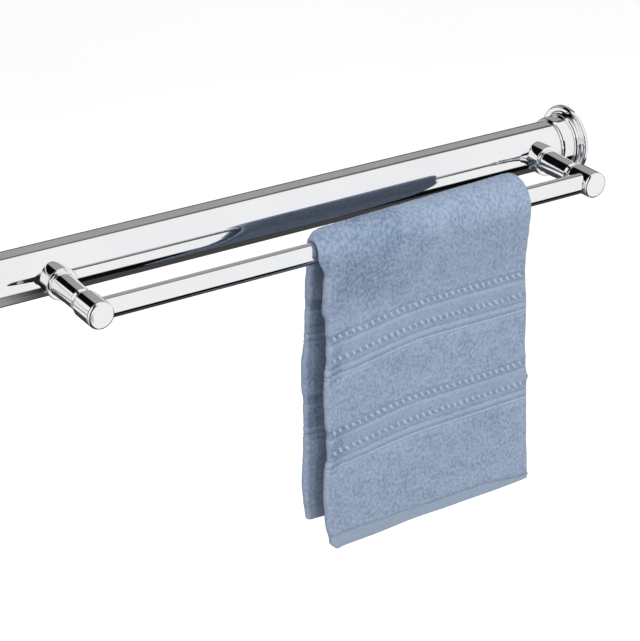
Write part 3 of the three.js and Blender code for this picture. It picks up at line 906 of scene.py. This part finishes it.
def row_stops():
    """How far each row lies from the front hem."""
    hem_end = hem_height + hem_margin
    rows = [0.0] + stops(first_row, hem_end, hem_step)
    reached = hem_end
    for top in reversed(border_tops):
        rows += stops(reached, top - border_height, terry_step) + stops(top - border_height, top, border_step)
        reached = top
    rows += stops(reached, cloth_length / 2, terry_step)
    return np.array(sorted({*rows, cloth_length / 2, *(cloth_length - row for row in rows)}))


def run_stops(step):
    """How far each column lies from the fold."""
    fine = [fold_step * i for i in range(fold_columns)]
    last = half_width - last_column
    return fine + stops(fold_step * fold_columns, last, step) + [last, half_width]


outer_runs, inner_runs = run_stops(outer_step), run_stops(inner_step)
sides = np.array([-1] * (len(inner_runs) - 1) + [1] * len(outer_runs))
runs = np.array([*reversed(inner_runs[1:]), *outer_runs])
run_grid, along_grid = np.meshgrid(runs, row_stops())
side_grid = np.broadcast_to(sides, run_grid.shape)
across_grid = run_grid / half_width
share_grid = thickness_share(along_grid, across_grid)
clumps = np.random.default_rng(11).normal(0, 1, run_grid.shape)
in_terry = ease(share_grid, *fully_terry)
points = cloth_points(side_grid, run_grid, along_grid, clumps * clump_lift * in_terry)
row_count, column_count = run_grid.shape
corner = np.arange(row_count * column_count).reshape(run_grid.shape)
faces = np.stack([corner[:-1, :-1], corner[:-1, 1:], corner[1:, 1:], corner[1:, :-1]], axis=-1).reshape(-1, 4)

towel_mesh = bpy.data.meshes.new("blue_towel")
towel_mesh.from_pydata(points.reshape(-1, 3).tolist(), [], faces.tolist())
blue_towel = linked("blue_towel", towel_mesh)
print("the grid has", row_count, "rows and", column_count, "columns")

# %% [markdown]
# The pattern of the cloth has to follow it round the fold and over the rail. So the
# grid gets a UV map in true metres along the cloth, and marks on its points that say
# where the pile and the hem are, where the lines get painted shade and painted highlight,
# and where the cloth is darker, with painted shade in the hollow by the fold.

# %% Map and mark the cloth
selvage_width = 2.5 * MM
row_steps = np.linalg.norm(np.diff(points, axis=0), axis=-1)
true_along = np.vstack([np.zeros((1, column_count)), np.cumsum(row_steps, axis=0)])
weave_map = towel_mesh.uv_layers.new(name="weave")
loop_vertex = np.zeros(len(towel_mesh.loops), np.int32)
towel_mesh.loops.foreach_get("vertex_index", loop_vertex)
weave = np.stack([(side_grid * run_grid).ravel()[loop_vertex], true_along.ravel()[loop_vertex]], axis=-1)
weave_map.data.foreach_set("uv", weave.astype(np.float32).ravel())


def mark(name, values):
    """Keeps one number for each point of the towel, for its material to read."""
    attribute = towel_mesh.attributes.new(name, "FLOAT", "POINT")
    attribute.data.foreach_set("value", values.astype(np.float32).ravel())
    print(name, "runs from", round(float(values.min()), 2), "to", round(float(values.max()), 2))


selvage = ease(run_grid, half_width - selvage_width, half_width)
hem_top = hem_edge(across_grid)
mark("pile", in_terry * (1 - selvage))
# Painted shade and painted highlight of the lines
mark("shade", painted_shade_and_highlight(along_grid, across_grid))
# Darker places, and painted shade in the hollow beside the fold
mark("darker_places_and_hollow_shade", darker_places_and_hollow_shade(run_grid, along_grid))
mark("hem", 1 - ease(from_end(along_grid), hem_top - hem_below, hem_top))

# %% [markdown]
# Terry is thick and a selvage is thin. So each point has a weight in a vertex group,
# and one Solidify modifier gives the sheet its thickness from it.

# %% Give the cloth its thickness
thickest_share, selvage_share = 1.1, 0.35
share_grid = share_grid * (1 - selvage_share * selvage) + clumps * clump_share * in_terry
thickness = blue_towel.vertex_groups.new(name="thickness")
for index, weight in enumerate(share_grid.ravel() / thickest_share):
    thickness.add([index], float(np.clip(weight, 0, 1)), "REPLACE")

only(blue_towel)
solid = blue_towel.modifiers.new("cloth", "SOLIDIFY")
solid.thickness = cloth * thickest_share
solid.offset = 0
solid.vertex_group = "thickness"
bpy.ops.object.modifier_apply(modifier=solid.name)
bpy.ops.object.shade_smooth()
print("the towel has", len(towel_mesh.polygons), "faces")

# %% [markdown]
# The beads of the borders are long stitches that pass over several threads and stand
# proud of the flat weave. One bead is modelled, a small ball drawn out lengthwise,
# and copied along each row. All lean the same way, like the grains of an ear of wheat.


# %% Stitch the beads of the borders
bead_pitch, bead_length, bead_width, bead_height = 7.4 * MM, 8.0 * MM, 4.0 * MM, 3.0 * MM
bead_lean, lean_spread = math.radians(30), 0.14
bead_margin, bead_wander, bead_shares = 5 * MM, 0.3, (0.8, 1.08)
bead_lift = cloth * 0.3


def one_bead():
    bpy.ops.object.select_all(action="DESELECT")
    bpy.ops.mesh.primitive_uv_sphere_add(segments=8, ring_count=6, radius=0.5)
    bead = bpy.context.object
    bpy.ops.object.mode_set(mode="EDIT")
    bpy.ops.mesh.select_all(action="SELECT")
    bpy.ops.transform.resize(value=(bead_width, bead_length, bead_height))
    bpy.ops.object.mode_set(mode="OBJECT")
    shape = np.array([vertex.co for vertex in bead.data.vertices])
    polygons = [list(polygon.vertices) for polygon in bead.data.polygons]
    bpy.data.objects.remove(bead)
    return shape, polygons


def stitched(run, end, end_sign):
    """The points of one bead at a distance from the fold and from an end of the cloth."""
    end += bead_dice.normal(0, bead_wander) * MM
    along = end if end_sign > 0 else cloth_length - end
    lean = bead_lean + bead_dice.normal(0, lean_spread)
    grown = bead_shape * bead_dice.uniform(*bead_shares)
    across = grown[:, 0] * math.cos(lean) - grown[:, 1] * math.sin(lean)
    ahead = grown[:, 0] * math.sin(lean) + grown[:, 1] * math.cos(lean)
    return cloth_points(np.ones(len(grown)), run + across, along + ahead, grown[:, 2] + bead_lift)


bead_shape, bead_faces = one_bead()
bead_points, bead_polygons = [], []
bead_dice = np.random.default_rng(5)
for end_sign in (1, -1):
    for top in border_tops:
        for row in bead_rows:
            for run in np.arange(bead_pitch, half_width - bead_margin, bead_pitch):
                first = len(bead_points)
                bead_points += stitched(run, top - row, end_sign).tolist()
                bead_polygons += [[first + corner for corner in polygon] for polygon in bead_faces]
bead_mesh = bpy.data.meshes.new("towel_border_beads")
bead_mesh.from_pydata(bead_points, [], bead_polygons)
border_beads = linked("towel_border_beads", bead_mesh)
only(border_beads)
bpy.ops.object.mode_set(mode="EDIT")
bpy.ops.mesh.select_all(action="SELECT")
bpy.ops.mesh.normals_make_consistent(inside=False)
bpy.ops.object.mode_set(mode="OBJECT")
bpy.ops.object.shade_smooth()
print("the borders have", len(bead_mesh.polygons) // len(bead_faces), "beads")

# %% [markdown]
# Terry is thousands of cotton loops. From a step away they read as soft clumps with
# darker gaps between, and the cloth looks paler where it turns away from us because
# the loops catch the light. The flat weave of the borders and the hem is smoother
# and a little greyer. The pattern follows the cloth, through its own UV map.


# %% Dye the towel, and paint its shade and highlights
TERRY_LIGHT, TERRY_DARK = (0.36, 0.44, 0.585, 1), (0.215, 0.285, 0.40, 1)
FLAT_LIGHT, FLAT_DARK = (0.38, 0.465, 0.61, 1), (0.245, 0.32, 0.435, 1)
# The second tone is for darker places and for the painted shade in the hollow by the fold
HEM_TONE, DARK_PLACE_AND_SHADE_TONE = (0.34, 0.43, 0.53, 1), (0.14, 0.205, 0.315, 1)
# Painted shade for grooves, bead feet and the hem's edge; painted highlight for cord, fold and upper edges
PAINTED_SHADE_TONE, PAINTED_HIGHLIGHT_TONE = (0.16, 0.21, 0.29, 1), (0.47, 0.56, 0.70, 1)
STITCH_DARK, STITCH_LIGHT = (0.32, 0.40, 0.53, 1), (0.46, 0.54, 0.68, 1)


def terry_colour(tree, pile, clumps, loops, patches, ribs):
    """The tone of the terry or of the flat weave, with its darker places, the painted shade
    in the hollow by the fold, and the painted shade and painted highlight of its lines.
    """
    hem, shade, darker_and_shade = (tree.node("ShaderNodeAttribute", {"attribute_name": name}, output="Fac")
                         for name in ("hem", "shade", "darker_places_and_hollow_shade"))
    tufted = tree.rise(clumps + loops * 0.45 + patches * 0.3, 0.64, 1.04)
    terry = tree.blend(tufted, TERRY_DARK, TERRY_LIGHT)
    threads = tree.rise(ribs * 0.25 + clumps * 0.75 + patches * 0.3, 0.4, 0.85)
    woven = tree.blend(hem * 0.6, tree.blend(threads, FLAT_DARK, FLAT_LIGHT), HEM_TONE)
    # Darker places, with painted shade in the hollow beside the fold
    darker = tree.rise(darker_and_shade, 0.0, 1.1) * (1 - tufted * 0.72)
    tone = tree.blend(darker, tree.blend(pile, woven, terry), DARK_PLACE_AND_SHADE_TONE)
    # Painted shade in the grooves, under the beads and at the hem's edge
    with_painted_shade = tree.blend(tree.rise(shade * -1, 0.1, 1.0) * 0.42, tone, PAINTED_SHADE_TONE)
    # Painted highlight on the cord, the fold and the upper edges
    return tree.blend(tree.rise(shade, 0.05, 0.7) * 0.4, with_painted_shade, PAINTED_HIGHLIGHT_TONE)


def terry_material():
    material = bpy.data.materials.new("blue terry")
    tree = Tree(material)
    weave = tree.node("ShaderNodeUVMap", {"uv_map": "weave"})
    pile = tree.node("ShaderNodeAttribute", {"attribute_name": "pile"}, output="Fac")
    clumps = tree.noise(tree.stretched(weave, (1.0, 0.7, 1)), 330.0, detail=3, roughness=0.6)
    loops = tree.noise(tree.stretched(weave, (1.0, 0.8, 1)), 950.0, detail=2)
    patches = tree.noise(weave, 62.0, detail=2)
    ribs = tree.node("ShaderNodeTexWave", {"wave_type": "BANDS", "bands_direction": "X"},
                     {"Vector": weave, "Scale": 420.0, "Distortion": 1.5, "Detail": 1.0}, output="Fac")
    looped, flat = clumps * 1.0 + loops * 0.5, clumps * 0.5 + ribs * 0.12 + loops * 0.3
    tree.skin({
        "Base Color": terry_colour(tree, pile, clumps, loops, patches, ribs),
        "Roughness": 0.92 + pile * 0.06, "Specular IOR Level": 0.15,
        "Sheen Weight": 0.18, "Sheen Roughness": 0.5, "Sheen Tint": (0.75, 0.82, 0.95, 1),
        "Normal": tree.bump(pile * looped + (1 - pile) * flat, 0.9, 0.0017)})
    return material


def bead_material():
    material = bpy.data.materials.new("cotton stitches")
    tree = Tree(material)
    place = tree.node("ShaderNodeTexCoord", output="Object")
    strands = tree.noise(place, 700.0, detail=2)
    tree.skin({
        "Base Color": tree.blend(strands, STITCH_DARK, STITCH_LIGHT),
        "Roughness": 0.8 + strands * 0.1, "Specular IOR Level": 0.2,
        "Sheen Weight": 0.12, "Normal": tree.bump(strands, 0.4, 0.0004)})
    return material


dress(blue_towel, terry_material())
dress(border_beads, bead_material())
for piece in (blue_towel, border_beads):
    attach(piece, "towel")
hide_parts("towel")
print(blue_towel.name, "and", border_beads.name, "ride on the body towel")

# %% [markdown]
# A plain pale floor lies well below the rack, so only a faint, wide shadow reaches
# it. It is left out of the mirror rays, which see the cards of the studio instead.


# %% Lay the floor
FLOOR_DARK, FLOOR_LIGHT = (0.93, 0.93, 0.93, 1), (0.96, 0.96, 0.96, 1)
floor_width, floor_drop = 14, 0.75


def floor_material():
    material = bpy.data.materials.new("pale floor")
    tree = Tree(material)
    place = tree.node("ShaderNodeTexCoord", output="Object")
    mottle = tree.noise(place, 3.0)
    seen = tree.node("ShaderNodeLightPath", output="Is Camera Ray")
    tree.skin({
        "Base Color": tree.blend(mottle, FLOOR_DARK, FLOOR_LIGHT), "Roughness": 0.9,
        "Emission Color": tree.blend(seen, (0, 0, 0, 1), (1, 1, 1, 1)), "Emission Strength": 0.35})
    return material


bpy.ops.object.select_all(action="DESELECT")
bpy.ops.mesh.primitive_plane_add(size=floor_width, location=(0, 0, -floor_drop))
floor = bpy.context.object
floor.name = "floor"
dress(floor, floor_material())
floor.visible_glossy = False
floor.visible_diffuse = False
print("the floor lies", floor_drop, "m below the tube's axis")
